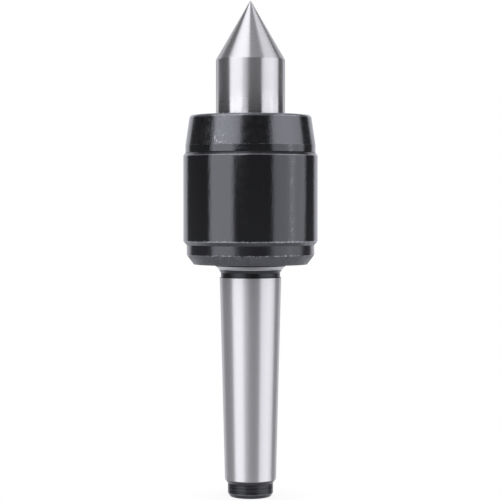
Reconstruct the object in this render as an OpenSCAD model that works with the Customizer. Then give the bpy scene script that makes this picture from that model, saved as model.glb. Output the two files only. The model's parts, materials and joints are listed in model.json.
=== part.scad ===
// Live center for a lathe tailstock, with a Morse taper No. 3 shank.
// The origin is on the axis at the shank's gauge line, and +Z runs towards the point.
// Every z below is a height above the gauge line, in millimetres.

/* [Morse taper shank] */
// Diameter at the gauge line
gauge_d = 23.825; // [23.7:0.005:24]
// Length over which the diameter changes by one unit
taper_run = 19.922; // [19.5:0.001:20.5]
// Length of the taper above the gauge line
taper_above = 4.7; // [4:0.1:5.5]
// Length of the shank below the gauge line
shank_l = 81.4; // [78:0.1:86]
// Diameter of the plain stub at the shank's end
stub_d = 17.8; // [16:0.1:18.8]
// Length of the stub, from the end of its lead chamfer to the end face
stub_l = 5.4; // [4:0.1:6.1]

/* [Housing] */
// Diameter of the main cylinder
housing_d = 52.7; // [52:0.1:56]
// Diameter of the land behind the main cylinder
rear_land_d = 50; // [49:0.5:51]
// Diameter of the rear face, inside its chamfer
rear_face_d = 44.5; // [42:0.5:46]
// Height of the rear face
rear_face_z = 9.8; // [9:0.1:11]
// Height of the mouth, which the cap's shoulder sits on
mouth_z = 53.3; // [53:0.1:56]

/* [Front cap] */
// Diameter of the cap's short cylinder
cap_d = 51; // [50:0.5:51.5]
// Diameter at the front edge, as if it were not rounded
cap_front_d = 47.5; // [46:0.1:48]
// Height of the cap above the mouth
cap_h = 14.7; // [13:0.1:17]
// Depth of the threaded skirt inside the mouth
skirt_h = 6.4; // [6.4:0.1:7]
// Pitch of the cap's thread
thread_pitch = 1.5; // [1.25:0.05:1.5]
// Diameter of the two pin spanner holes
spanner_hole_d = 4; // [3:0.5:4.5]
// Distance between the two pin spanner holes
spanner_pcd = 37.5; // [37:0.5:39]
// Depth of the pin spanner holes
spanner_hole_depth = 5; // [3:0.5:7]

/* [Spindle] */
// Diameter of the point's cylinder
point_d = 27; // [26:0.5:27.5]
// Height of the shoulder where the cone starts
cone_base_z = 89.6; // [86:0.1:96]
// Included angle of the point
point_angle = 60; // [60:5:75]
// Diameter of the flat on the tip
tip_d = 0.2; // [0.2:0.1:1]
// Diameter of the rear journal, which runs in the needle bearing
tail_d = 12; // [11:0.1:12.5]

/* [Front ball bearing] */
// Bore
front_bore = 20; // [19.5:0.1:20]
// Outside diameter
front_od = 42; // [42:0.1:42.4]
// Width
front_w = 12; // [11.5:0.5:12]
// Diameter of a ball
front_ball_d = 6.35; // [6:0.01:6.35]
// Number of balls
front_ball_n = 9; // [7:1:9]

/* [Thrust ball bearing] */
// Bore of the shaft washer
thrust_bore = 17; // [16.5:0.1:17]
// Outside diameter
thrust_od = 30; // [30:0.1:31]
// Height
thrust_h = 9; // [9:0.1:9.5]
// Diameter of a ball
thrust_ball_d = 4.762; // [4.5:0.01:4.77]
// Number of balls
thrust_ball_n = 12; // [9:1:12]

/* [Needle bearing] */
// Outside diameter of the drawn shell
needle_od = 16; // [16:0.05:16.2]
// Length of the shell
needle_l = 10; // [9:0.5:11]
// Number of rollers
needle_n = 14; // [10:1:15]

/* [Hidden] */
$fn = 96;

black = [0.14, 0.14, 0.15];
dark_steel = [0.25, 0.25, 0.27];
ground_steel = [0.78, 0.78, 0.8];
bearing_steel = [0.7, 0.71, 0.73];
pressed_steel = [0.6, 0.6, 0.62];
felt = [0.45, 0.42, 0.38];
brass = [0.8, 0.66, 0.36];

// Clearances
over = 1;              // how far a cutter reaches past the face it opens
seat_clear = 0.01;     // radial, between parts that are fixed together
run_clear = 0.02;      // radial, between rolling parts and their tracks
pocket_clear = 0.1;    // radial, between a ball and its cage
thread_clear = 0.06;   // radial, between the two threads
lid_clear = 0.3;       // radial, where a still part surrounds a turning one

// Shank heights and radii
shank_end_z = -shank_l;
stub_top_z = shank_end_z + stub_l;
taper_lead_h = 1.5;
taper_low_z = stub_top_z + taper_lead_h;
stub_r = stub_d / 2;
stub_edge_w = 1;
stub_edge_h = 1.5;
neck_r = gauge_d / 2 - 0.3;
neck_groove_h = 1.8;
neck_flare_r = neck_r + 1;
neck_flare_h = 1.6;
neck_root_r = neck_flare_r + 1.9;
centre_hole_r = 2;
centre_hole_depth = 9;
centre_cone_r = 4.25;
tail_hole_r = 1;
tail_hole_depth = 5;
tail_cone_r = 2.2;
drill_half_angle = 59;
centre_half_angle = 30;

// Housing heights and radii
rear_chamfer_h = 3.75;
rear_land_h = 3.85;
rear_step_h = 1.5;
mouth_edge_w = 0.8;
mouth_edge_h = 1.1;
mouth_lead_w = 0.4;

// Cap thread
thread_turns = 4;
thread_major_r = 22.5;
thread_depth = 0.5413 * thread_pitch;
thread_minor_r = thread_major_r - thread_depth;
thread_lead = 0.5;     // from the last turn to the mouth
thread_z = mouth_z - thread_lead - thread_turns * thread_pitch;

// Cap heights and radii
cap_top_z = mouth_z + cap_h;
cap_band_h = 2.9;
cap_front_edge_r = 1.1;
cap_edge = 0.2;
cap_bore_lead = 0.5;
cap_bore_r = point_d / 2 + lid_clear;
shim_h = 0.5;
shim_r = 18;
shim_clear = 0.1;
grease_space_z = mouth_z - 2.4;
seal_z = mouth_z + 6.6;
seal_h = 3.5;
seal_w = 2.7;

// Bearing positions on the axis
front_z = mouth_z - skirt_h - shim_h - front_w;
front_mid_z = front_z + front_w / 2;
front_pitch_r = (front_bore + front_od) / 4;
thrust_z = 18;
thrust_mid_z = thrust_z + thrust_h / 2;
thrust_top_z = thrust_z + thrust_h;
thrust_pitch_r = (thrust_bore + thrust_od) / 4;
needle_z = -12;
needle_top_z = needle_z + needle_l;

// Bores of the housing
relief_r = 18;
passage_r = needle_od / 2 + 0.3;
shell_bore_top_z = needle_top_z + 2;
blind_r = 6.5;
blind_depth = 4;
blind_z = needle_z - blind_depth;

// Spindle
tail_end_z = needle_z - 1.5;
tail_top_z = needle_top_z + 4;
shaft_d = thrust_bore - 2;
thrust_seat_z = thrust_z + 0.5;  // clear of the housing's floor
clip_w = 1.2;
clip_groove_w = 1.3;
clip_groove_r = front_bore / 2 - 0.5;
clip_z = front_z - clip_groove_w;
nose_edge = 0.3;
tail_edge = 0.8;

// Rings of the front bearing
ring_edge = 0.6;
front_shoulder_gap = 2.2;
front_track_r = front_ball_d / 2 * 1.04;  // a little more than the ball's
shield_w = 0.35;
shield_seat = 0.4;
shield_depth = 0.3;

// Cage of the front bearing
front_cage_half_w = 1.2;
front_cage_t = 0.6;
front_cage_split = 0.02;
rivet_r = 0.5;
rivet_head_r = 0.85;
rivet_head_h = 0.35;

// Washers and cage of the thrust bearing
washer_gap = 3.4;
thrust_track_r = thrust_ball_d / 2 * 1.07;
shaft_washer_relief = 0.25;    // radial, from the housing's bore
housing_washer_relief = 0.6;   // radial, from the spindle
thrust_cage_h = 2.4;
thrust_cage_gap = 0.4;

// Needle bearing
shell_t = 0.5;
roller_r = (needle_od / 2 - shell_t - tail_d / 2) / 2 - seat_clear;
roller_pitch_r = tail_d / 2 + roller_r + seat_clear;
roller_end_room = 1.1;         // from a roller's end to the shell's end
roller_l = needle_l - 2 * roller_end_room;
cage_end_ring = 0.4;
roller_play = 0.1;
needle_mid_z = needle_z + needle_l / 2;
needle_cage_half_w = 0.45;

function taper_r(z) = (gauge_d + z / taper_run) / 2;

// Rings with a thread's section, one for each turn, as (radius, height) points going up.
// A turn is 3/4 of the pitch wide at its root and 1/8 at its crest.
function thread_points(major_r, z) = [
    for (i = [0 : thread_turns - 1], p = [
        [major_r - thread_depth, -3 / 8], [major_r, -1 / 16], [major_r, 1 / 16],
        [major_r - thread_depth, 3 / 8]
    ]) [p[0], z + (i + 1 / 2 + p[1]) * thread_pitch]
];

// A rounded edge as (radius, height) points, from the side at radius r over to the face at height z
function round_edge_points(r, z, edge_r) = [
    for (a = [0 : 15 : 90]) [r - edge_r * (1 - cos(a)), z - edge_r * (1 - sin(a))]
];

module turned(points) {
    rotate_extrude() polygon(points);
}

module ring(inner_r, outer_r, z, h) {
    translate([0, 0, z]) difference() {
        cylinder(r = outer_r, h = h);
        translate([0, 0, -over]) cylinder(r = inner_r, h = h + 2 * over);
    }
}

// A groove of round section around the axis
module track(pitch_r, z, r) {
    translate([0, 0, z]) rotate_extrude() translate([pitch_r, 0]) circle(r = r);
}

module around(n, pitch_r, z) {
    for (i = [0 : n - 1]) rotate([0, 0, i * 360 / n]) translate([pitch_r, 0, z]) children();
}

module balls(n, pitch_r, z, r) {
    around(n, pitch_r, z) sphere(r = r);
}

// The housing and its shank are one forging
module housing() {
    land_z = rear_face_z + rear_chamfer_h;
    step_z = land_z + rear_land_h;
    color(black) difference() {
        turned([
            [0, shank_end_z], [stub_r - stub_edge_w, shank_end_z],
            [stub_r, shank_end_z + stub_edge_h], [stub_r, stub_top_z],
            [taper_r(taper_low_z), taper_low_z], [taper_r(taper_above), taper_above],
            [neck_r, taper_above], [neck_r, taper_above + neck_groove_h],
            [neck_flare_r, taper_above + neck_groove_h + neck_flare_h],
            [neck_root_r, rear_face_z], [rear_face_d / 2, rear_face_z],
            [rear_land_d / 2, land_z], [rear_land_d / 2, step_z],
            [housing_d / 2, step_z + rear_step_h], [housing_d / 2, mouth_z - mouth_edge_h],
            [housing_d / 2 - mouth_edge_w, mouth_z], [0, mouth_z]
        ]);
        housing_bores();
        centre_hole(shank_end_z, centre_cone_r, centre_hole_r, centre_hole_depth);
    }
}

module housing_bores() {
    front_r = front_od / 2 + seat_clear;
    thrust_r = thrust_od / 2 + seat_clear;
    shell_r = needle_od / 2 + seat_clear;
    turned(concat(
        [
            [0, blind_z - blind_r / tan(drill_half_angle)], [blind_r, blind_z], [blind_r, needle_z],
            [shell_r, needle_z], [shell_r, shell_bore_top_z], [passage_r, shell_bore_top_z],
            [passage_r, thrust_z], [thrust_r, thrust_z], [thrust_r, thrust_top_z],
            [relief_r, thrust_top_z], [relief_r, front_z], [front_r, front_z],
            [front_r, thread_z], [thread_minor_r, thread_z]
        ],
        thread_points(thread_major_r, thread_z),
        [
            [thread_minor_r, mouth_z - thread_lead], [thread_major_r + mouth_lead_w, mouth_z],
            [thread_major_r + mouth_lead_w, mouth_z + over], [0, mouth_z + over]
        ]
    ));
}

// A centre hole as turned between centres: a cone in the face at height z, then a drilled pilot
module centre_hole(z, cone_r, hole_r, depth) {
    turned([
        [0, z - over], [cone_r, z - over], [cone_r, z],
        [hole_r, z + (cone_r - hole_r) / tan(centre_half_angle)], [hole_r, z + depth],
        [0, z + depth + hole_r / tan(drill_half_angle)]
    ]);
}

module front_cap() {
    skirt_z = mouth_z - skirt_h;
    male_r = thread_major_r - thread_clear;
    root_r = male_r - thread_depth;
    color(black) difference() {
        turned(concat(
            [[shim_r, skirt_z], [root_r, skirt_z]],
            thread_points(male_r, thread_z),
            [
                [root_r, mouth_z], [cap_d / 2 - cap_edge, mouth_z],
                [cap_d / 2, mouth_z + cap_edge], [cap_d / 2, mouth_z + cap_band_h]
            ],
            round_edge_points(cap_front_d / 2, cap_top_z, cap_front_edge_r),
            [
                [cap_bore_r + cap_bore_lead, cap_top_z], [cap_bore_r, cap_top_z - cap_bore_lead],
                [cap_bore_r, seal_z + seal_h], [cap_bore_r + seal_w, seal_z + seal_h],
                [cap_bore_r + seal_w, seal_z], [cap_bore_r, seal_z],
                [cap_bore_r, grease_space_z], [shim_r, grease_space_z]
            ]
        ));
        spanner_holes();
    }
}

module spanner_holes() {
    around(2, spanner_pcd / 2, cap_top_z - spanner_hole_depth)
        cylinder(d = spanner_hole_d, h = spanner_hole_depth + over);
}

// A felt ring with a narrower lip that wipes the spindle
module dust_seal() {
    lip_h = 0.8;
    seal_r = cap_bore_r + 0.1;
    color(felt) turned([
        [seal_r, seal_z], [cap_bore_r + seal_w - seat_clear, seal_z],
        [cap_bore_r + seal_w - seat_clear, seal_z + seal_h], [seal_r, seal_z + seal_h],
        [point_d / 2 + run_clear, seal_z + seal_h - lip_h], [point_d / 2 + run_clear, seal_z + lip_h]
    ]);
}

module cap_shim() {
    color(bearing_steel) ring(shim_r, front_od / 2 - shim_clear, front_z + front_w, shim_h);
}

// Point, journals and tail are one piece
module spindle() {
    cone_h = (point_d - tip_d) / 2 / tan(point_angle / 2);
    nose_z = front_z + front_w;
    color(ground_steel) difference() {
        turned([
            [0, tail_end_z], [tail_d / 2 - tail_edge, tail_end_z],
            [tail_d / 2, tail_end_z + tail_edge], [tail_d / 2, tail_top_z],
            [shaft_d / 2, tail_top_z], [shaft_d / 2, thrust_seat_z], [thrust_bore / 2, thrust_seat_z],
            [thrust_bore / 2, thrust_top_z], [front_bore / 2, thrust_top_z],
            [front_bore / 2, clip_z], [clip_groove_r, clip_z],
            [clip_groove_r, clip_z + clip_groove_w], [front_bore / 2, clip_z + clip_groove_w],
            [front_bore / 2, nose_z], [point_d / 2 - nose_edge, nose_z], [point_d / 2, nose_z + nose_edge],
            [point_d / 2, cone_base_z], [tip_d / 2, cone_base_z + cone_h],
            [0, cone_base_z + cone_h]
        ]);
        centre_hole(tail_end_z, tail_cone_r, tail_hole_r, tail_hole_depth);
    }
}

// The gap between the ends faces +X, with a lug and an eye on each side of it
module spindle_circlip() {
    inner_r = clip_groove_r + run_clear;
    eccentricity = 0.35;
    band_r = inner_r + 1.6;
    gap = 3;
    lug_r = 1.7;
    eye_r = 0.8;
    lug_x = band_r + 0.6;
    lug_y = gap / 2 + 1.2;
    color(dark_steel) translate([0, 0, clip_z + (clip_groove_w - clip_w) / 2])
        linear_extrude(height = clip_w) difference() {
            union() {
                translate([-eccentricity, 0]) circle(r = band_r);
                for (side = [-1, 1]) translate([lug_x, side * lug_y]) circle(r = lug_r);
            }
            circle(r = inner_r);
            translate([0, -gap / 2]) square([2 * band_r, gap]);
            for (side = [-1, 1]) translate([lug_x, side * lug_y]) circle(r = eye_r);
        }
}

module front_bearing_outer_ring() {
    shoulder_r = front_pitch_r + front_shoulder_gap;
    outer_r = front_od / 2;
    top = front_z + front_w;
    rabbet = shield_depth + shield_w;
    color(bearing_steel) difference() {
        turned([
            [shoulder_r + shield_seat, front_z], [outer_r - ring_edge, front_z],
            [outer_r, front_z + ring_edge], [outer_r, top - ring_edge],
            [outer_r - ring_edge, top], [shoulder_r + shield_seat, top],
            [shoulder_r + shield_seat, top - rabbet], [shoulder_r, top - rabbet],
            [shoulder_r, front_z + rabbet], [shoulder_r + shield_seat, front_z + rabbet]
        ]);
        track(front_pitch_r + front_ball_d / 2 + run_clear - front_track_r, front_mid_z, front_track_r);
    }
}

module front_bearing_inner_ring() {
    shoulder_r = front_pitch_r - front_shoulder_gap;
    inner_r = front_bore / 2 + seat_clear;
    top = front_z + front_w;
    color(bearing_steel) difference() {
        turned([
            [inner_r + ring_edge, front_z], [shoulder_r, front_z], [shoulder_r, top],
            [inner_r + ring_edge, top], [inner_r, top - ring_edge], [inner_r, front_z + ring_edge]
        ]);
        track(front_pitch_r - front_ball_d / 2 - run_clear + front_track_r, front_mid_z, front_track_r);
    }
}

module front_bearing_balls() {
    color(ground_steel) balls(front_ball_n, front_pitch_r, front_mid_z, front_ball_d / 2);
}

// Half of a pressed ribbon cage: a flat ring that arches over each ball
module ribbon_half() {
    inner_r = front_pitch_r - front_cage_half_w;
    outer_r = front_pitch_r + front_cage_half_w;
    cup_r = front_ball_d / 2 + pocket_clear;
    difference() {
        union() {
            ring(inner_r, outer_r, 0, front_cage_split + front_cage_t);
            around(front_ball_n, front_pitch_r, 0) rotate([0, 90, 0])
                cylinder(r = cup_r + front_cage_t, h = 2 * front_cage_half_w, center = true);
        }
        around(front_ball_n, front_pitch_r, 0) rotate([0, 90, 0])
            cylinder(r = cup_r, h = 4 * front_cage_half_w, center = true);
        rotate([0, 0, 180 / front_ball_n]) around(front_ball_n, front_pitch_r, -over)
            cylinder(r = rivet_r + seat_clear, h = 2 * over + front_cage_t);
        translate([0, 0, -front_w]) cylinder(r = front_od / 2, h = front_w + front_cage_split);
    }
}

module front_bearing_cage_front() {
    color(pressed_steel) translate([0, 0, front_mid_z]) ribbon_half();
}

module front_bearing_cage_rear() {
    color(pressed_steel) translate([0, 0, front_mid_z]) mirror([0, 0, 1]) ribbon_half();
}

module front_bearing_cage_rivets() {
    flat_z = front_cage_split + front_cage_t;
    color(ground_steel) translate([0, 0, front_mid_z]) rotate([0, 0, 180 / front_ball_n])
        around(front_ball_n, front_pitch_r, 0) turned([
            [0, -flat_z - rivet_head_h], [rivet_head_r / 2, -flat_z - rivet_head_h],
            [rivet_head_r, -flat_z], [rivet_r, -flat_z], [rivet_r, flat_z],
            [rivet_head_r, flat_z], [rivet_head_r / 2, flat_z + rivet_head_h],
            [0, flat_z + rivet_head_h]
        ]);
}

module bearing_shield(z) {
    ring(
        front_pitch_r - front_shoulder_gap + lid_clear,
        front_pitch_r + front_shoulder_gap + shield_seat - seat_clear, z, shield_w
    );
}

module front_bearing_shield_front() {
    color(pressed_steel) bearing_shield(front_z + front_w - shield_depth - shield_w);
}

module front_bearing_shield_rear() {
    color(pressed_steel) bearing_shield(front_z + shield_depth);
}

module thrust_washer(inner_r, outer_r, z, h) {
    difference() {
        ring(inner_r, outer_r, z, h);
        children();
    }
}

module thrust_shaft_washer() {
    washer_h = (thrust_h - washer_gap) / 2;
    track_z = thrust_mid_z + thrust_ball_d / 2 + run_clear - thrust_track_r;
    color(bearing_steel)
        thrust_washer(
            thrust_bore / 2 + seat_clear, thrust_od / 2 - shaft_washer_relief,
            thrust_top_z - washer_h, washer_h
        )
            track(thrust_pitch_r, track_z, thrust_track_r);
}

module thrust_housing_washer() {
    washer_h = (thrust_h - washer_gap) / 2;
    track_z = thrust_mid_z - thrust_ball_d / 2 - run_clear + thrust_track_r;
    color(bearing_steel)
        thrust_washer(thrust_bore / 2 + housing_washer_relief, thrust_od / 2, thrust_z, washer_h)
            track(thrust_pitch_r, track_z, thrust_track_r);
}

module thrust_balls() {
    color(ground_steel) balls(thrust_ball_n, thrust_pitch_r, thrust_mid_z, thrust_ball_d / 2);
}

module thrust_cage() {
    low_z = thrust_mid_z - thrust_cage_h / 2;
    color(brass) difference() {
        ring(
            thrust_bore / 2 + thrust_cage_gap, thrust_od / 2 - thrust_cage_gap, low_z, thrust_cage_h
        );
        around(thrust_ball_n, thrust_pitch_r, low_z - over)
            cylinder(r = thrust_ball_d / 2 + pocket_clear, h = thrust_cage_h + 2 * over);
    }
}

// A drawn cup, open at both ends, whose lips hold the rollers in
module needle_shell() {
    outer_r = needle_od / 2;
    lip_r = tail_d / 2 + lid_clear;
    color(bearing_steel) difference() {
        ring(lip_r, outer_r, needle_z, needle_l);
        translate([0, 0, needle_z + shell_t])
            cylinder(r = outer_r - shell_t, h = needle_l - 2 * shell_t);
    }
}

module needle_rollers() {
    color(ground_steel) around(needle_n, roller_pitch_r, needle_mid_z - roller_l / 2)
        cylinder(r = roller_r, h = roller_l, $fn = 32);
}

module needle_cage() {
    cage_l = roller_l + 2 * cage_end_ring;
    window_l = roller_l + roller_play;
    window_w = 2 * roller_r + roller_play;
    color(pressed_steel) difference() {
        ring(
            roller_pitch_r - needle_cage_half_w, roller_pitch_r + needle_cage_half_w,
            needle_mid_z - cage_l / 2, cage_l
        );
        around(needle_n, roller_pitch_r, needle_mid_z - window_l / 2)
            translate([-over, -window_w / 2, 0]) cube([2 * over, window_w, window_l]);
    }
}

housing();
front_cap();
dust_seal();
cap_shim();
spindle();
spindle_circlip();
front_bearing_outer_ring();
front_bearing_inner_ring();
front_bearing_balls();
front_bearing_cage_front();
front_bearing_cage_rear();
front_bearing_cage_rivets();
front_bearing_shield_front();
front_bearing_shield_rear();
thrust_shaft_washer();
thrust_housing_washer();
thrust_balls();
thrust_cage();
needle_shell();
needle_rollers();
needle_cage();
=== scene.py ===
"""The live center's looks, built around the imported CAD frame.

The housing, the front cap and the spindle are turned again as fine meshes with rounded edges.
The pieces inside them stay CAD nodes and get procedural materials. Sizes here are millimetres
until a mesh is made, and z is the height above the shank's gauge line, as in the frame.
"""

import json
from collections import namedtuple
from math import cos, pi, radians, sin, tan

import bmesh
import bpy
from mathutils import Matrix, Vector


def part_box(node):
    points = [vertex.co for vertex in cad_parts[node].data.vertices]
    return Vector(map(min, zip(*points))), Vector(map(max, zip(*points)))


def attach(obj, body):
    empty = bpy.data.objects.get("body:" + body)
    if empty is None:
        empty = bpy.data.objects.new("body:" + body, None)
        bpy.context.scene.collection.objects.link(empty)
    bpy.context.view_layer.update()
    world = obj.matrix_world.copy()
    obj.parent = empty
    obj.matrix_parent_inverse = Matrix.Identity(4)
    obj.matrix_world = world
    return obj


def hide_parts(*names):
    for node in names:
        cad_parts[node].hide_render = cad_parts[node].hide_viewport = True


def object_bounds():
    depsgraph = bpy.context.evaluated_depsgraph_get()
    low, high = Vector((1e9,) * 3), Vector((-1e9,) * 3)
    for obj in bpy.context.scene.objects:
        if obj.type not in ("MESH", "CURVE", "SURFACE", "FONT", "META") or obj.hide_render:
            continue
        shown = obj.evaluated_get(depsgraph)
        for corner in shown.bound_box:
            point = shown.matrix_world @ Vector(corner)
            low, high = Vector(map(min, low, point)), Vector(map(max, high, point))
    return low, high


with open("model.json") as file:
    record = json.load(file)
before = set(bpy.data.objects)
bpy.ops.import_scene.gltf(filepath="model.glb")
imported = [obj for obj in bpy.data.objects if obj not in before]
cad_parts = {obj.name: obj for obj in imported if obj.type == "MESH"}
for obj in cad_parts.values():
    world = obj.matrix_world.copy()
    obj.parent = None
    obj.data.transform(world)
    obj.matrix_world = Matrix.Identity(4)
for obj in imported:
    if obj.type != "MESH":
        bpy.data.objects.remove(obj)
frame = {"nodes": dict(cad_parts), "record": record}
cad_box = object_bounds()

MM = 0.001
DEGREES = 180 / pi
SEGMENTS = 288
HOLE_SEGMENTS = 64

# ---------------------------------------------------------------- sizes, in mm, as in the frame


def top_of(node):
    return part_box(node)[1].z / MM


def bottom_of(node):
    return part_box(node)[0].z / MM


def radius_of(node):
    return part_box(node)[1].y / MM


SHANK_END_Z = bottom_of("housing")
GAUGE_R = 23.825 / 2
TAPER_RUN = 19.922
TAPER_TOP_Z = 4.7
STUB_R = 8.9
STUB_TOP_Z = SHANK_END_Z + 5.4
STUB_EDGE_W, STUB_EDGE_H = 1, 1.5
TAPER_LOW_Z = STUB_TOP_Z + 1.5
NECK_R = GAUGE_R - 0.3
NECK_GROOVE_TOP_Z = TAPER_TOP_Z + 1.8
NECK_FLARE_R = NECK_R + 1
NECK_FLARE_Z = NECK_GROOVE_TOP_Z + 1.6
NECK_ROOT_R = NECK_FLARE_R + 1.9
BRIGHT_LOW_Z, BRIGHT_TOP_Z = 7.7, 9.05  # the band of bare steel on the neck's flare

BODY_R = radius_of("housing")
REAR_FACE_Z = 9.8
REAR_FACE_R = 22.25
LAND_R = 25
LAND_Z = REAR_FACE_Z + 3.75
STEP_Z = LAND_Z + 3.85
BODY_Z = STEP_Z + 1.5
MOUTH_Z = top_of("housing")
MOUTH_EDGE_W = 0.8
MOUTH_EDGE_H = 1.1
MOUTH_LEAD_W = 0.4

CAP_R = 25.5
CAP_TOP_Z = top_of("front_cap")
CAP_SKIRT_Z = bottom_of("front_cap")
CAP_BAND_Z = MOUTH_Z + 2.9
CAP_FRONT_R = 23.75
CAP_FRONT_EDGE_R = 1.1
CAP_BORE_R = 13.8
SEAL_Z = bottom_of("dust_seal")
SEAL_TOP_Z = top_of("dust_seal")
SEAL_GROOVE_R = 16.5
SPANNER_R = 2
SPANNER_X = 18.75
SPANNER_DEPTH = 5
OVER = 1  # how far a drill reaches past the face

THREAD_PITCH = 1.5
THREAD_TURNS = 4
THREAD_MAJOR_R = 22.5
THREAD_DEPTH = 0.5413 * THREAD_PITCH
THREAD_CLEAR = 0.06
THREAD_LEAD = 0.5
THREAD_Z = MOUTH_Z - THREAD_LEAD - THREAD_TURNS * THREAD_PITCH

POINT_R = radius_of("spindle")
POINT_TIP_Z = top_of("spindle")
TIP_R = 0.1
POINT_HALF_ANGLE = radians(30)
CONE_BASE_Z = POINT_TIP_Z - (POINT_R - TIP_R) / tan(POINT_HALF_ANGLE)

FRONT_Z = bottom_of("front_bearing_outer_ring")
FRONT_TOP_Z = top_of("front_bearing_outer_ring")
THRUST_Z = bottom_of("thrust_housing_washer")
THRUST_TOP_Z = top_of("thrust_shaft_washer")
THRUST_SEAT_Z = THRUST_Z + 0.5
NEEDLE_Z = bottom_of("needle_shell")
NEEDLE_TOP_Z = top_of("needle_shell")
DRILL_HALF_ANGLE = radians(59)
CENTRE_HALF_ANGLE = radians(30)


def taper_r(z):
    return GAUGE_R + z / TAPER_RUN / 2


def radius_on(line, z):
    """The radius at height z on a straight line between two (radius, height) places."""
    (low_r, low_z), (high_r, high_z) = line
    return low_r + (high_r - low_r) * (z - low_z) / (high_z - low_z)


# ---------------------------------------------------------------- lathe work

# A corner of a turned outline. fillet is the radius of its arc. wear is how bare its edge is rubbed, from 0
# to 1, or a pair for the arc's two ends. finish names the material from here on, or is None to keep it.
Corner = namedtuple("Corner", "r z fillet wear finish", defaults=(0, 0, None))
ARC_STEPS = 6
SHARP_ANGLE = radians(32)
EDGE_MARGIN = 0.6  # from a rounded or worn corner to the point beside it
ROOM_FOR_MARGIN = 3 * EDGE_MARGIN
ON_AXIS_R = 1e-6
SLIVER_L = 0.001  # shorter edges are dissolved after drilling


def arc_ends(corner, before, after):
    """The centre of a corner's arc, and its first and last point. Without a fillet all are the corner."""
    here = Vector((corner.r, corner.z))
    if not corner.fillet:
        return here, here, here
    back = (Vector((before.r, before.z)) - here).normalized()
    ahead = (Vector((after.r, after.z)) - here).normalized()
    half = back.angle(ahead) / 2
    centre = here + (back + ahead).normalized() * corner.fillet / sin(half)
    reach = corner.fillet / tan(half)
    return centre, here + back * reach, here + ahead * reach


def outline_points(corners):
    """(r, z, wear, finish) points of an outline whose corners are rounded. The stretch beside each worn
    or rounded corner gets a point close by, which keeps its wear and its curve to the edge."""
    count = len(corners)
    arcs = [arc_ends(c, corners[i - 1], corners[(i + 1) % count]) for i, c in enumerate(corners)]
    points = []
    finish = corners[0].finish
    for i, corner in enumerate(corners):
        centre, start, end = arcs[i]
        finish_before = finish
        finish = corner.finish or finish
        shaped = corner.fillet or corner.wear
        gap_before = start - arcs[i - 1][2]
        if shaped and i > 0 and gap_before.length > ROOM_FOR_MARGIN:
            beside = start - gap_before.normalized() * EDGE_MARGIN
            points.append((beside.x, beside.y, 0, finish_before))
        if corner.fillet:
            first_worn, last_worn = corner.wear if isinstance(corner.wear, tuple) else [corner.wear] * 2
            for step in range(ARC_STEPS + 1):
                share = step / ARC_STEPS
                spoke = (start - centre).slerp(end - centre, share)
                on_arc = centre + spoke.normalized() * corner.fillet
                worn = first_worn + (last_worn - first_worn) * share
                points.append((on_arc.x, on_arc.y, worn, finish))
        else:
            points.append((corner.r, corner.z, corner.wear, finish))
        gap_after = arcs[(i + 1) % count][1] - end
        if shaped and i < count - 1 and gap_after.length > ROOM_FOR_MARGIN:
            beside = end + gap_after.normalized() * EDGE_MARGIN
            points.append((beside.x, beside.y, 0, finish))
    return points


def turned_mesh(name, corners):
    """A closed mesh of revolution. The outline runs from the axis back to the axis, or all round a ring."""
    points = outline_points(corners)
    used = sorted({p[3] for p in points})
    vertices, wear, rings = [], [], []
    for r, z, worn, _ in points:
        count = 1 if r < ON_AXIS_R else SEGMENTS
        rings.append(range(len(vertices), len(vertices) + count))
        for s in range(count):
            angle = 2 * pi * s / SEGMENTS
            vertices.append((r * cos(angle) * MM, r * sin(angle) * MM, z * MM))
            wear.append(worn)
    faces, face_finish = [], []
    closed = points[0][0] > 0
    for i in range(len(points) if closed else len(points) - 1):
        ring_a, ring_b = rings[i], rings[(i + 1) % len(points)]
        for s in range(SEGMENTS):
            t = (s + 1) % SEGMENTS
            corners_a = [ring_a[s], ring_a[t]] if len(ring_a) > 1 else [ring_a[0]]
            corners_b = [ring_b[t], ring_b[s]] if len(ring_b) > 1 else [ring_b[0]]
            faces.append(corners_a + corners_b)
            face_finish.append(used.index(points[i][3]))
    mesh = bpy.data.meshes.new(name)
    mesh.from_pydata(vertices, [], faces)
    for finish in used:
        mesh.materials.append(FINISHES[finish])
    mesh.polygons.foreach_set("material_index", face_finish)
    mesh.polygons.foreach_set("use_smooth", [True] * len(faces))
    mesh.attributes.new("wear", "FLOAT", "POINT").data.foreach_set("value", wear)
    mesh.set_sharp_from_angle(angle=SHARP_ANGLE)
    mesh.validate()
    return mesh


def turned_piece(name, corners, body, node):
    """A turned mesh that rides on a body and stands for a CAD node."""
    piece = bpy.data.objects.new(name, turned_mesh(name, corners))
    bpy.context.scene.collection.objects.link(piece)
    normals = piece.modifiers.new("face_normals", "WEIGHTED_NORMAL")
    normals.keep_sharp = True
    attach(piece, body)
    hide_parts(node)
    return piece


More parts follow.
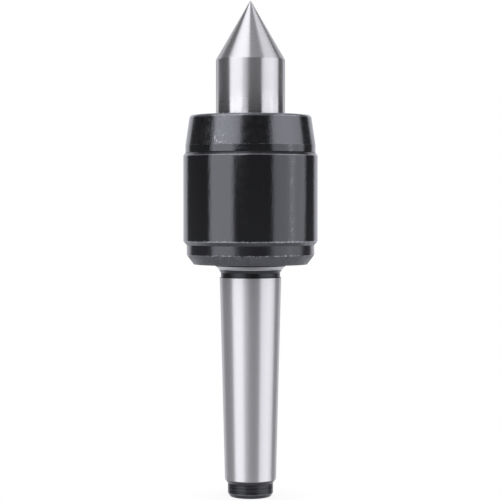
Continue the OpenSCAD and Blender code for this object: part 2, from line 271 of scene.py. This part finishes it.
def drill(piece, places_x, radius, z, depth):
    """Cuts flat-bottomed round holes on the X axis, from height z up."""
    drills = bmesh.new()
    for x in places_x:
        bmesh.ops.create_cone(
            drills,
            cap_ends=True,
            segments=HOLE_SEGMENTS,
            radius1=radius * MM,
            radius2=radius * MM,
            depth=depth * MM,
            matrix=Matrix.Translation(Vector((x, 0, z + depth / 2)) * MM),
        )
    mesh = bpy.data.meshes.new("drill")
    drills.to_mesh(mesh)
    drills.free()
    mesh.materials.append(FINISHES["bored"])
    cutter = bpy.data.objects.new("drill", mesh)
    bpy.context.scene.collection.objects.link(cutter)
    cut = piece.modifiers.new("cut", "BOOLEAN")
    cut.operation = "DIFFERENCE"
    cut.solver = "EXACT"
    cut.material_mode = "TRANSFER"
    cut.object = cutter
    piece.modifiers.move(1, 0)
    piece.modifiers["face_normals"].show_viewport = False
    drilled = bpy.data.meshes.new_from_object(piece.evaluated_get(bpy.context.evaluated_depsgraph_get()))
    piece.modifiers["face_normals"].show_viewport = True
    piece.modifiers.remove(cut)
    bpy.data.objects.remove(cutter)
    clean = bmesh.new()
    clean.from_mesh(drilled)
    bmesh.ops.dissolve_degenerate(clean, dist=SLIVER_L * MM, edges=clean.edges)
    clean.to_mesh(drilled)
    clean.free()
    drilled.set_sharp_from_angle(angle=SHARP_ANGLE)
    drilled.name = piece.data.name
    piece.data = drilled


def thread_corners(major_r, start_z, going):
    """The thread's rings, as the CAD has them: going is 1 up the outline and -1 down it."""
    minor_r = major_r - THREAD_DEPTH
    turn = [(minor_r, -3 / 8), (major_r, -1 / 16), (major_r, 1 / 16), (minor_r, 3 / 8)]
    corners = [
        Corner(r, start_z + (i + 0.5 + share) * THREAD_PITCH)
        for i in range(THREAD_TURNS)
        for r, share in turn
    ]
    return corners[::going]


# ---------------------------------------------------------------- node trees


class Nodes:
    """Short calls that add shader nodes to a tree. A value is a number or another node's output."""

    def __init__(self, tree):
        self.tree = tree
        tree.nodes.clear()

    def put(self, socket, value):
        if isinstance(value, bpy.types.NodeSocket):
            self.tree.links.new(value, socket)
        else:
            socket.default_value = value

    def add(self, kind, inputs=None, **settings):
        node = self.tree.nodes.new("ShaderNode" + kind)
        for key, value in settings.items():
            setattr(node, key, value)
        for key, value in (inputs or {}).items():
            self.put(node.inputs[key], value)
        return node

    def math(self, operation, a, b=0.0):
        return self.add("Math", {0: a, 1: b}, operation=operation).outputs[0]

    def times(self, a, b):
        return self.math("MULTIPLY", a, b)

    def plus(self, a, b):
        return self.math("ADD", a, b)

    def fit(self, value, low, high, to_low=0.0, to_high=1.0, curve="LINEAR"):
        """Maps low..high to to_low..to_high, and holds the ends."""
        places = {"Value": value, "From Min": low, "From Max": high, "To Min": to_low, "To Max": to_high}
        return self.add("MapRange", places, interpolation_type=curve).outputs["Result"]

    def step(self, value, edge, softness):
        """0 below an edge, 1 above it, and a smooth rise over softness to each side."""
        low = self.math("SUBTRACT", edge, softness)
        return self.fit(value, low, self.plus(edge, softness), curve="SMOOTHSTEP")

    def path(self, value, points):
        """Straight lines through (value, result) points."""
        first, last = points[0][0], points[-1][0]
        results = [y for _, y in points]
        low, high = min(results), max(results)
        ramp = self.add("ValToRGB", {"Fac": self.fit(value, first, last)})
        stops = ramp.color_ramp.elements
        while len(stops) < len(points):
            stops.new(1)
        for stop, (x, y) in zip(stops, points):
            stop.position = (x - first) / (last - first)
            stop.color = [(y - low) / (high - low)] * 3 + [1]
        return self.fit(ramp.outputs["Color"], 0, 1, low, high)

    def mix(self, share, a, b):
        """A colour between a and b, each an (r, g, b) or another node's output."""
        node = self.add("Mix", {0: share}, data_type="RGBA")
        for socket, value in ((node.inputs[6], a), (node.inputs[7], b)):
            self.put(socket, value if isinstance(value, bpy.types.NodeSocket) else (*value, 1))
        return node.outputs[2]

    def blend(self, share, a, b):
        """A plain number between a and b."""
        return self.add("Mix", {0: share, 2: a, 3: b}, data_type="FLOAT").outputs[0]

    def noise(self, vector, scale, detail=2.0, roughness=0.5):
        places = {"Vector": vector, "Scale": scale, "Detail": detail, "Roughness": roughness}
        return self.add("TexNoise", places).outputs["Fac"]


class Surface(Nodes):
    """A material's tree, with places in millimetres."""

    def __init__(self, name):
        self.material = bpy.data.materials.new(name)
        self.material.use_nodes = True
        super().__init__(self.material.node_tree)
        place = self.add("TexCoord").outputs["Object"]
        self.place = self.add("VectorMath", {0: place, "Scale": 1 / MM}, operation="SCALE").outputs[0]
        split = self.add("SeparateXYZ", {0: self.place})
        self.x, self.y, self.z = split.outputs
        flat = self.add("CombineXYZ", {0: self.x, 1: self.y})
        self.radius = self.add("VectorMath", {0: flat.outputs[0]}, operation="LENGTH").outputs["Value"]
        turn = self.math("ARCTAN2", self.x, self.times(self.y, -1.0))
        self.azimuth = self.times(turn, DEGREES)

    def ring_place(self, drift=0.02):
        """Coordinates almost the same all round the axis, for marks left by turning and grinding."""
        across = self.plus(self.radius, self.times(self.x, drift))
        along = self.plus(self.z, self.times(self.y, drift))
        return self.add("CombineXYZ", {0: across, 1: along}).outputs[0]

    def long_place(self, stretch):
        """Coordinates whose marks are drawn out along the axis."""
        squeeze = (1, 1, 1 / stretch)
        return self.add("VectorMath", {0: self.place, 1: squeeze}, operation="MULTIPLY").outputs[0]

    def near(self, value, middle, reach):
        """1 at the middle, and 0 from reach away on."""
        away = self.math("ABSOLUTE", self.math("SUBTRACT", value, middle))
        return self.fit(away, 0, reach, 1.0, 0.0, "SMOOTHSTEP")

    def wear(self):
        """How bare an edge is rubbed, as the turned mesh carries it."""
        return self.add("Attribute", attribute_name="wear").outputs["Fac"]

    def bump(self, height, depth, normal=None):
        """A bump whose height of 0 to 1 stands for a depth in millimetres."""
        inputs = {"Height": height, "Distance": depth * MM, "Strength": 1.0}
        if normal is not None:
            inputs["Normal"] = normal
        return self.add("Bump", inputs).outputs[0]

    def finish(self, **inputs):
        """Ends the tree with the shader, whose sockets are named as in base_color, and gives the material."""
        named = {key.replace("_", " ").title().replace("Ior", "IOR"): value for key, value in inputs.items()}
        shader = self.add("BsdfPrincipled", named)
        self.add("OutputMaterial", {"Surface": shader.outputs[0]})
        return self.material


# ---------------------------------------------------------------- materials

ACROSS_GRAIN = 0.25  # a quarter turn
GRAZING_TINT = (0.45, 0.45, 0.45, 1)
BARE = (0.48, 0.48, 0.5)
BARE_ROUGHNESS = 0.3
OXIDE_DEEP, OXIDE_PALE = (0.0035, 0.0035, 0.004), (0.0065, 0.0065, 0.0075)
OXIDE_TINT = (0.94, 0.965, 1.0, 1)
RIPPLE_DEPTH = 0.035
POINT_TINT = (0.82, 0.81, 0.8)
SCRATCHES_AZIMUTH = 37.0
RUBBED_AZIMUTH, RUBBED_REACH = -27.0, 26.0
BELOW_EDGE = 0.8  # mm, from an edge down to the wear beside it

# Nicks in the cap's cone: the middle's azimuth in degrees and height in mm, and how far it reaches in each.
NICKS = [
    (-32.5, 58.6, 1.0, 1.8),
    (-30.5, 57.4, 0.9, 0.9),
    (-27.0, 56.9, 4.0, 0.24),
    (-24.5, 59.5, 0.7, 0.75),
]


def scaled(colour, share):
    return [channel * share for channel in colour]


def black_oxide(name, roughness, mottle, ring_depth, ior=2.03, haze=1.0, sheen=0.0, marks=None):
    """Blackened steel: a thin dark oxide with a sheen, rubbed to bare steel along its edges.
    mottle is the share by which the roughness varies, haze scales the oxide's own grey, and sheen lights
    the rims. The waves of RIPPLE_DEPTH make reflections ragged. marks adds more bare steel: it is called
    with the surface and returns how bare each place is."""
    s = Surface(name)
    cloud = s.noise(s.place, 0.35, 4)
    rings = s.noise(s.ring_place(), 2.2, 3)
    grain = s.noise(s.place, 3.5, 3, 0.6)
    waves = s.noise(s.long_place(5), 1.1, 4, 0.7)
    chips = s.noise(s.place, 1.3, 5, 0.75)
    edges = s.plus(s.wear(), s.fit(chips, 0.25, 0.75, -0.6, 0.6))
    edges = s.fit(edges, 0.5, 0.8)
    bare = s.math("MAXIMUM", edges, marks(s)) if marks else edges
    dark = s.mix(cloud, scaled(OXIDE_DEEP, haze), scaled(OXIDE_PALE, haze))
    colour = s.mix(bare, dark, BARE)
    rough = s.fit(cloud, 0.3, 0.7, roughness * (1 - mottle), roughness * (1 + mottle))
    rough = s.blend(edges, s.plus(rough, s.times(grain, 0.02)), BARE_ROUGHNESS)
    normal = s.bump(rings, ring_depth)
    normal = s.bump(grain, ring_depth / 3, normal)
    normal = s.bump(waves, RIPPLE_DEPTH, normal)
    return s.finish(
        base_color=colour,
        metallic=bare,
        roughness=rough,
        ior=ior,
        specular_tint=OXIDE_TINT,
        normal=normal,
        sheen_weight=sheen,
        sheen_roughness=0.4,
    )


def worn_line(s, z, reach, least, most):
    """An uneven bare line round the axis at height z, whose bareness goes from least to most."""
    return s.times(s.near(s.z, z, reach), s.fit(s.noise(s.place, 0.9, 4, 0.7), 0.35, 0.6, least, most))


def mouth_marks(s):
    """A worn line along the edge at the housing's mouth."""
    return worn_line(s, MOUTH_Z - MOUTH_EDGE_H, 0.35, 0.35, 0.9)


def body_marks(s):
    """Fine scratches in a line along the axis, where the head has lain, and the mouth's worn line."""
    wander = s.plus(s.azimuth, s.fit(s.noise(s.place, 0.12, 2), 0, 1, -2, 2))
    broken = s.fit(s.noise(s.long_place(2), 1.1, 4, 0.75), 0.46, 0.62, 0, 0.35)
    return s.math("MAXIMUM", s.times(s.near(wander, SCRATCHES_AZIMUTH, 3.5), broken), mouth_marks(s))


def cone_marks(s):
    """Rubbed patches all over, thickest on one side, a worn line on the rounded edge, and the nicks."""
    patches = s.fit(s.noise(s.place, 0.9, 4, 0.75), 0.42, 0.62, 0, 0.25)
    patches = s.times(patches, s.fit(s.near(s.azimuth, RUBBED_AZIMUTH, RUBBED_REACH), 0, 1, 0.15, 1.0))
    bare = s.math("MAXIMUM", patches, worn_line(s, CAP_TOP_Z - BELOW_EDGE, 0.5, 0.3, 0.8))
    for azimuth, z, reach_across, reach_along in NICKS:
        nick = s.times(s.near(s.azimuth, azimuth, reach_across), s.near(s.z, z, reach_along))
        bare = s.math("MAXIMUM", bare, s.times(nick, 0.95))
    return bare


def turning_marks(s):
    """Faint bare rings, and one along the edge at the shank's end."""
    rings = s.fit(s.noise(s.ring_place(), 1.5, 3, 0.7), 0.42, 0.62, 0, 0.12)
    return s.plus(rings, worn_line(s, SHANK_END_Z + STUB_EDGE_H, 0.5, 0.08, 0.3))


def chamfer_marks(s):
    """Bright specks just below the edge, and a faint bare mottle all over."""
    low = s.fit(s.noise(s.place, 0.8, 4, 0.7), 0.45, 0.7, 0, 0.1)
    specks = s.fit(s.noise(s.place, 1.1, 4, 0.7), 0.54, 0.66, 0, 0.5)
    belt = s.times(s.near(s.z, LAND_Z - BELOW_EDGE, 0.9), s.near(s.azimuth, -10.0, 45.0))
    return s.plus(low, s.times(specks, belt))


def ground_steel(name, tint, roughness, streak, sheen, line_depth, oil_and_cap_shade=None):
    """Bright steel, ground round its axis: fine lines that spread a reflection along the axis.
    The steeper the view, the more of it goes astray in the lines, so its rims are dull. sheen is the share
    that reflects, and the rest is scattered. oil_and_cap_shade is the height where a film of oil ends, the
    height where it is thickest, and what it leaves of the roughness there. Towards the cap it also darkens
    the colour
    in faint patches: a few stains, and painted shade from the cap over the point's foot."""
    s = Surface(name)
    lines = s.noise(s.ring_place(), 6, 4, 0.6)
    cloud = s.noise(s.place, 0.25, 3)
    colour = s.mix(lines, scaled(tint, 0.92), scaled(tint, 1.03))
    rough = s.plus(s.fit(lines, 0.3, 0.7, roughness * 0.85, roughness * 1.15), s.times(cloud, 0.03))
    if oil_and_cap_shade:
        clear_z, thick_z, left = oil_and_cap_shade
        ragged_z = s.plus(s.z, s.fit(s.noise(s.long_place(3), 0.3, 3), 0, 1, -3, 3))
        rough = s.times(rough, s.fit(ragged_z, thick_z, clear_z, left, 1.0, "SMOOTHSTEP"))
        # Faint darker patches towards the cap: a few stains, and painted shade from the cap over the point's
        # foot.
        stains_and_cap_shade = s.fit(s.noise(s.long_place(2.5), 0.45, 4, 0.65), 0.56, 0.7, 1.0, 0.82)
        stains_and_cap_shade = s.blend(s.fit(ragged_z, thick_z, clear_z + 4), stains_and_cap_shade, 1.0)
        colour = s.add("VectorMath", {0: colour, "Scale": stains_and_cap_shade}, operation="SCALE").outputs[0]
    tangent = s.add("Tangent", direction_type="RADIAL", axis="Z").outputs[0]
    return s.finish(
        base_color=colour,
        metallic=sheen,
        specular_tint=GRAZING_TINT,
        roughness=rough,
        anisotropic=streak,
        anisotropic_rotation=ACROSS_GRAIN,
        tangent=tangent,
        normal=s.bump(lines, line_depth),
    )


def machined_steel(name, tint, roughness, ring_scale, ring_depth):
    """Plain steel with turning rings, for bores, rings and washers."""
    s = Surface(name)
    rings = s.noise(s.ring_place(), ring_scale, 3)
    colour = s.mix(rings, scaled(tint, 0.8), tint)
    rough = s.fit(rings, 0.3, 0.7, roughness * 0.8, roughness * 1.2)
    return s.finish(base_color=colour, metallic=1.0, roughness=rough, normal=s.bump(rings, ring_depth))


def felt_fibres(name):
    """Dense oiled felt, matted fibres of several browns."""
    s = Surface(name)
    fibres = s.noise(s.place, 6, 6, 0.7)
    colour = s.mix(fibres, (0.1, 0.085, 0.065), (0.22, 0.19, 0.15))
    return s.finish(base_color=colour, roughness=0.95, normal=s.bump(fibres, 0.15))


FINISHES = {
    "oxide": black_oxide("black_oxide", 0.07, 0.3, 0.0012, marks=body_marks),
    "oxide_land": black_oxide("black_oxide_land", 0.16, 0.3, 0.002, ior=1.9, haze=2.6),
    "oxide_step": black_oxide("black_oxide_step", 0.35, 0.3, 0.006, ior=1.9),
    "oxide_seam": black_oxide("black_oxide_seam", 0.2, 0.3, 0.006, ior=1.6, marks=mouth_marks),
    "oxide_rough": black_oxide("black_oxide_rough", 0.5, 0.2, 0.02, sheen=0.3, marks=chamfer_marks),
    "oxide_groove": black_oxide("black_oxide_groove", 0.3, 0.3, 0.006, ior=1.6),
    # The ring under the rear face: black oxide whose low reflectance and halved grey are painted shade under
    # the rear face's rim.
    "oxide_root": black_oxide("black_oxide_painted_shade_ring", 0.5, 0.3, 0.006, ior=1.3, haze=0.5),
    "oxide_stub": black_oxide("black_oxide_stub", 0.3, 0.3, 0.01, ior=1.5, haze=1.2, marks=turning_marks),
    "oxide_cone": black_oxide("black_oxide_cone", 0.14, 0.4, 0.002, ior=2.35, marks=cone_marks),
    "flare": machined_steel("turned_flare", (0.52, 0.52, 0.53), 0.35, 3, 0.004),
    "taper": ground_steel("ground_taper", (0.86, 0.85, 0.84), 0.36, 0.8, 0.75, 0.0008),
    "point": ground_steel("ground_point", POINT_TINT, 0.34, 1.0, 1.0, 0.0006, oil_and_cap_shade=(80, 68, 0.62)),
    "point_cone": ground_steel("ground_point_cone", POINT_TINT, 0.27, 1.0, 1.0, 0.0003),
    "bored": machined_steel("bored_steel", (0.3, 0.3, 0.31), 0.35, 3, 0.004),
}

# ---------------------------------------------------------------- housing, cap and spindle


def housing():
    """From the centre hole in the shank's end, up the outside, and down the bores to the blind end."""
    thread_minor_r = THREAD_MAJOR_R - THREAD_DEPTH
    centre_r, centre_cone_r, centre_depth = 2, 4.25, 9
    cone_l = (centre_cone_r - centre_r) / tan(CENTRE_HALF_ANGLE)
    blind_r, blind_z = 6.5, NEEDLE_Z - 4
    front_r, thrust_r, relief_r = 21.01, 15.01, 18
    shell_r, shell_top_z, passage_r = 8.01, NEEDLE_TOP_Z + 2, 8.3
    flare = [(NECK_R, NECK_GROOVE_TOP_Z), (NECK_FLARE_R, NECK_FLARE_Z)]
    root = [(NECK_FLARE_R, NECK_FLARE_Z), (NECK_ROOT_R, REAR_FACE_Z)]
    groove_edge_h = 0.15
    corners = [
        Corner(0, SHANK_END_Z + centre_depth + centre_r / tan(DRILL_HALF_ANGLE), finish="oxide_stub"),
        Corner(centre_r, SHANK_END_Z + centre_depth),
        Corner(centre_r, SHANK_END_Z + cone_l),
        Corner(centre_cone_r, SHANK_END_Z, 0.15),
        Corner(STUB_R - STUB_EDGE_W, SHANK_END_Z, 0.6, 0.2),
        Corner(STUB_R, SHANK_END_Z + STUB_EDGE_H, 0.3),
        Corner(STUB_R, STUB_TOP_Z),
        Corner(taper_r(TAPER_LOW_Z), TAPER_LOW_Z, 0.2, 0, "taper"),
        Corner(taper_r(TAPER_TOP_Z), TAPER_TOP_Z, 0.1, 0, "oxide_groove"),
        Corner(NECK_R, TAPER_TOP_Z + groove_edge_h),
        Corner(NECK_R, NECK_GROOVE_TOP_Z, 0.5),
        Corner(radius_on(flare, BRIGHT_LOW_Z), BRIGHT_LOW_Z, finish="flare"),
        Corner(NECK_FLARE_R, NECK_FLARE_Z, 0.6),
        # From here up to the rear face the ring takes the darker finish, painted shade under the rim.
        Corner(radius_on(root, BRIGHT_TOP_Z), BRIGHT_TOP_Z, finish="oxide_root"),
        Corner(NECK_ROOT_R, REAR_FACE_Z, 0.3, 0, "oxide_rough"),
        Corner(REAR_FACE_R, REAR_FACE_Z, 0.3, 0.3),
        Corner(LAND_R, LAND_Z, 0.25, 0.6, "oxide_land"),
        Corner(LAND_R, STEP_Z, 0.2, 0, "oxide_step"),
        Corner(BODY_R, BODY_Z, 0.2, 0.8, "oxide"),
        Corner(BODY_R, MOUTH_Z - MOUTH_EDGE_H, 0.2, 0.25, "oxide_seam"),
        Corner(BODY_R - MOUTH_EDGE_W, MOUTH_Z, 0.2, 0.2),
        Corner(THREAD_MAJOR_R + MOUTH_LEAD_W, MOUTH_Z, finish="bored"),
        Corner(thread_minor_r, MOUTH_Z - THREAD_LEAD),
        *thread_corners(THREAD_MAJOR_R, THREAD_Z, -1),
        Corner(thread_minor_r, THREAD_Z),
        Corner(front_r, THREAD_Z),
        Corner(front_r, FRONT_Z),
        Corner(relief_r, FRONT_Z),
        Corner(relief_r, THRUST_TOP_Z),
        Corner(thrust_r, THRUST_TOP_Z),
        Corner(thrust_r, THRUST_Z),
        Corner(passage_r, THRUST_Z),
        Corner(passage_r, shell_top_z),
        Corner(shell_r, shell_top_z),
        Corner(shell_r, NEEDLE_Z),
        Corner(blind_r, NEEDLE_Z),
        Corner(blind_r, blind_z),
        Corner(0, blind_z - blind_r / tan(DRILL_HALF_ANGLE)),
    ]
    turned_piece("housing_turned", corners, "housing", "housing")


def front_cap():
    """From the skirt's end, up the outside and down the bore, with two holes for a pin spanner."""
    male_r = THREAD_MAJOR_R - THREAD_CLEAR
    root_r = male_r - THREAD_DEPTH
    shim_r = 18
    grease_z = MOUTH_Z - 2.4
    edge, bore_lead = 0.2, 0.5
    corners = [
        Corner(shim_r, CAP_SKIRT_Z, finish="bored"),
        Corner(root_r, CAP_SKIRT_Z),
        *thread_corners(male_r, THREAD_Z, 1),
        Corner(root_r, MOUTH_Z, finish="oxide"),
        Corner(CAP_R - edge, MOUTH_Z, 0.1),
        Corner(CAP_R, MOUTH_Z + edge, 0.1, 0.2),
        Corner(CAP_R, CAP_BAND_Z, 0.3, 0.42, "oxide_cone"),
        Corner(CAP_FRONT_R, CAP_TOP_Z, CAP_FRONT_EDGE_R, (0, 1)),
        Corner(CAP_BORE_R + bore_lead, CAP_TOP_Z, 0.1, 0.5),
        Corner(CAP_BORE_R, CAP_TOP_Z - bore_lead, 0.1, 0, "bored"),
        Corner(CAP_BORE_R, SEAL_TOP_Z),
        Corner(SEAL_GROOVE_R, SEAL_TOP_Z),
        Corner(SEAL_GROOVE_R, SEAL_Z),
        Corner(CAP_BORE_R, SEAL_Z),
        Corner(CAP_BORE_R, grease_z),
        Corner(shim_r, grease_z),
    ]
    piece = turned_piece("front_cap_turned", corners, "housing", "front_cap")
    drill(piece, (-SPANNER_X, SPANNER_X), SPANNER_R, CAP_TOP_Z - SPANNER_DEPTH, SPANNER_DEPTH + OVER)


def spindle():
    """From the centre hole in the tail, up the bearing seats, to the point's small flat."""
    tail_r, tail_edge, tail_z = 6, 0.8, NEEDLE_Z - 1.5
    tail_top_z = NEEDLE_TOP_Z + 4
    point_edge = 0.3
    shaft_r, thrust_r, front_r = 7.5, 8.5, 10
    clip_r, clip_z, clip_top_z = 9.5, FRONT_Z - 1.3, FRONT_Z
    hole_r, hole_cone_r, hole_depth = 1, 2.2, 5
    hole_cone_l = (hole_cone_r - hole_r) / tan(CENTRE_HALF_ANGLE)
    corners = [
        Corner(0, tail_z + hole_depth + hole_r / tan(DRILL_HALF_ANGLE), finish="point"),
        Corner(hole_r, tail_z + hole_depth),
        Corner(hole_r, tail_z + hole_cone_l),
        Corner(hole_cone_r, tail_z),
        Corner(tail_r - tail_edge, tail_z, 0.2),
        Corner(tail_r, tail_z + tail_edge, 0.2),
        Corner(tail_r, tail_top_z),
        Corner(shaft_r, tail_top_z, 0.2),
        Corner(shaft_r, THRUST_SEAT_Z),
        Corner(thrust_r, THRUST_SEAT_Z, 0.2),
        Corner(thrust_r, THRUST_TOP_Z),
        Corner(front_r, THRUST_TOP_Z, 0.2),
        Corner(front_r, clip_z),
        Corner(clip_r, clip_z),
        Corner(clip_r, clip_top_z),
        Corner(front_r, clip_top_z),
        Corner(front_r, FRONT_TOP_Z),
        Corner(POINT_R - point_edge, FRONT_TOP_Z, 0.1),
        Corner(POINT_R, FRONT_TOP_Z + point_edge, 0.1),
        Corner(POINT_R, CONE_BASE_Z, 0.15, 0, "point_cone"),
        Corner(TIP_R, POINT_TIP_Z),
        Corner(0, POINT_TIP_Z),
    ]
    turned_piece("spindle_ground", corners, "spindle", "spindle")


housing()
front_cap()
spindle()

# ---------------------------------------------------------------- the pieces inside

NODE_FINISHES = {
    "felt": felt_fibres("felt_fibres"),
    "bearing_steel": machined_steel("ground_ring", (0.62, 0.62, 0.64), 0.22, 8, 0.001),
    "polished_balls": machined_steel("lapped_ball", (0.72, 0.72, 0.74), 0.06, 12, 0.0002),
    "pressed_steel": machined_steel("cold_rolled", (0.42, 0.42, 0.44), 0.38, 1.2, 0.003),
    "spring_steel": machined_steel("phosphated", (0.05, 0.05, 0.055), 0.5, 2, 0.004),
    "machined_brass": machined_steel("turned_brass", (0.72, 0.5, 0.19), 0.3, 4, 0.004),
}

for subpart in frame["record"]["subparts"]:
    finish = NODE_FINISHES.get(subpart["material_slot"])
    if finish is None:
        continue
    mesh = frame["nodes"][subpart["node"]].data
    mesh.materials.clear()
    mesh.materials.append(finish)
    mesh.polygons.foreach_set("material_index", [0] * len(mesh.polygons))

# ---------------------------------------------------------------- studio

LAMP_TINT = (1.0, 1.0, 1.075)
BACKDROP_SOFTNESS = 4.0
FLOOR_HALF = 3.0


def studio():
    """Two softboxes in a dark room, a white backdrop behind the object and a pale floor, as a world. Azimuth
    is in degrees round the axis from the -Y side, positive towards +X, and height is above the horizon."""
    world = bpy.data.worlds.new("studio")
    bpy.context.scene.world = world
    world.use_nodes = True
    w = Nodes(world.node_tree)
    split = w.add("SeparateXYZ", {0: w.add("TexCoord").outputs["Generated"]})
    x, y, z = split.outputs
    azimuth = w.times(w.math("ARCTAN2", x, w.times(y, -1.0)), DEGREES)
    height = w.times(w.math("ARCSINE", z), DEGREES)
    softness = w.path(
        height, [(-90, 10), (-15, 1.5), (-3, 1.5), (0, 1.1), (3, 1.5), (10, 1.5), (35, 7), (90, 16)]
    )
    outer_softness = w.path(height, [(-90, 10), (-15, 1.5), (10, 1.5), (28, 3), (38, 17), (90, 22)])

    def softbox(side, inner, outer):
        """1 inside a softbox, whose edges are (height, azimuth) paths, and 0 outside."""
        reach = w.times(azimuth, side)
        past_inner = w.step(reach, w.path(height, inner), softness)
        past_outer = w.step(reach, w.path(height, outer), outer_softness)
        return w.math("SUBTRACT", past_inner, past_outer)

    left = softbox(
        -1.0,
        [
            (-90, 28), (-10, 26), (-3, 26), (-2, 29.2), (2, 29.2), (3.5, 6), (12, 8), (16, 19), (30, 14),
            (55, 3), (90, 0),
        ],
        [
            (-90, 74), (-3, 73.7), (-1, 73.0), (0, 73.6), (5, 72.1), (16, 71.3), (30, 86), (45, 92),
            (90, 120),
        ],
    )
    right = softbox(
        1.0,
        [(-90, 38), (-3, 38), (0, 39), (5, 37), (16, 37.5), (50, 62), (90, 70)],
        [
            (-90, 104), (-6, 104), (-2, 104.8), (0, 107.5), (2, 108), (8, 106), (12, 107), (16, 109),
            (35, 118), (46, 116), (54, 78), (90, 76),
        ],
    )

    # The right one is brighter in a streak, but only near the horizon.
    streaked = w.path(azimuth, [(30, 0.8), (66, 0.92), (74, 1.3), (78, 1.3), (84, 1.0), (130, 1.0)])
    even = w.path(azimuth, [(30, 1.15), (70, 1.25), (80, 1.22), (95, 1.05), (130, 1.0)])
    off_level = w.step(w.math("ABSOLUTE", height), 5.0, 3.0)
    fading = w.path(height, [(-90, 1), (20, 1), (50, 0.88), (90, 0.8)])
    right_level = w.times(w.blend(off_level, streaked, even), fading)

    # The left one has a brighter middle at the heights that the cap's cone reflects.
    along = w.path(height, [(-90, 1.2), (-8, 1.2), (-3, 1.37), (20, 1.39), (50, 1.34), (90, 1.25)])
    peak = w.path(azimuth, [(-75, 1.0), (-62, 1.15), (-45, 1.13), (-30, 0.95), (-20, 0.85)])
    beside_cap = w.path(height, [(-90, 0), (9, 0), (13, 1), (21, 1), (27, 0), (90, 0)])
    left_level = w.times(along, w.blend(beside_cap, 1.0, peak))

    room = w.path(
        height,
        [
            (-90, 0.66), (-50, 0.66), (-30, 0.22), (-12, 0.165), (-4, 0.16), (1, 0.1), (12, 0.055),
            (20, 0.05), (30, 0.06), (38, 0.12), (50, 0.33), (90, 0.5),
        ],
    )
    left_edge = w.path(
        height, [(-90, 126), (-22, 126), (-14, 135), (5, 137), (10, 137), (22, 135), (90, 135)]
    )
    right_edge = w.path(height, [(-90, 128), (-22, 128), (-14, 139), (90, 139)])
    backdrop = w.math(
        "MAXIMUM",
        w.step(azimuth, right_edge, BACKDROP_SOFTNESS),
        w.step(w.times(azimuth, -1.0), left_edge, BACKDROP_SOFTNESS),
    )
    above_floor = w.path(height, [(-90, 0), (-50, 0), (-28, 1), (90, 1)])
    lamps = w.plus(w.times(left, left_level), w.times(right, right_level))
    level = w.math("MAXIMUM", room, w.math("MAXIMUM", w.times(lamps, above_floor), backdrop))
    tint = w.add("VectorMath", {0: LAMP_TINT, "Scale": level}, operation="SCALE")
    light = w.add("Background", {"Color": tint.outputs[0]})
    paper = w.add("Background", {"Color": (1, 1, 1, 1)})
    seen = w.add("LightPath").outputs["Is Camera Ray"]
    mixed = w.add("MixShader", {0: seen, 1: light.outputs[0], 2: paper.outputs[0]})
    w.add("OutputWorld", {"Surface": mixed.outputs[0]})


def floor():
    """A white table, with a faint soft shadow where the shank's end stands on it."""
    s = Surface("white_table")
    shade = s.add("AmbientOcclusion", {"Distance": 0.02}, samples=8).outputs["AO"]
    colour = s.mix(shade, (0.88, 0.88, 0.88), (1.0, 1.0, 1.0))
    glow = s.add("Emission", {"Color": colour, "Strength": 1.0})
    s.add("OutputMaterial", {"Surface": glow.outputs[0]})
    mesh = bpy.data.meshes.new("floor")
    half, z = FLOOR_HALF, cad_box[0][2]
    square = [(-half, -half, z), (half, -half, z), (half, half, z), (-half, half, z)]
    mesh.from_pydata(square, [], [(0, 1, 2, 3)])
    mesh.materials.append(s.material)
    table = bpy.data.objects.new("floor", mesh)
    table.visible_glossy = False
    table.visible_diffuse = False
    bpy.context.scene.collection.objects.link(table)


def camera():
    """Level with the middle of the head and turned a little down, as far off as the perspective asks."""
    down, left = 1.56, 0.016
    data = bpy.data.cameras.new("camera")
    data.lens = 125.68
    data.sensor_width = 36
    eye = bpy.data.objects.new("camera", data)
    eye.location = (0, -0.684, 0.034)
    eye.rotation_euler = (radians(90 - down), 0, radians(left))
    bpy.context.scene.collection.objects.link(eye)
    bpy.context.scene.camera = eye


studio()
floor()
camera()
bpy.context.scene.view_settings.view_transform = "Standard"
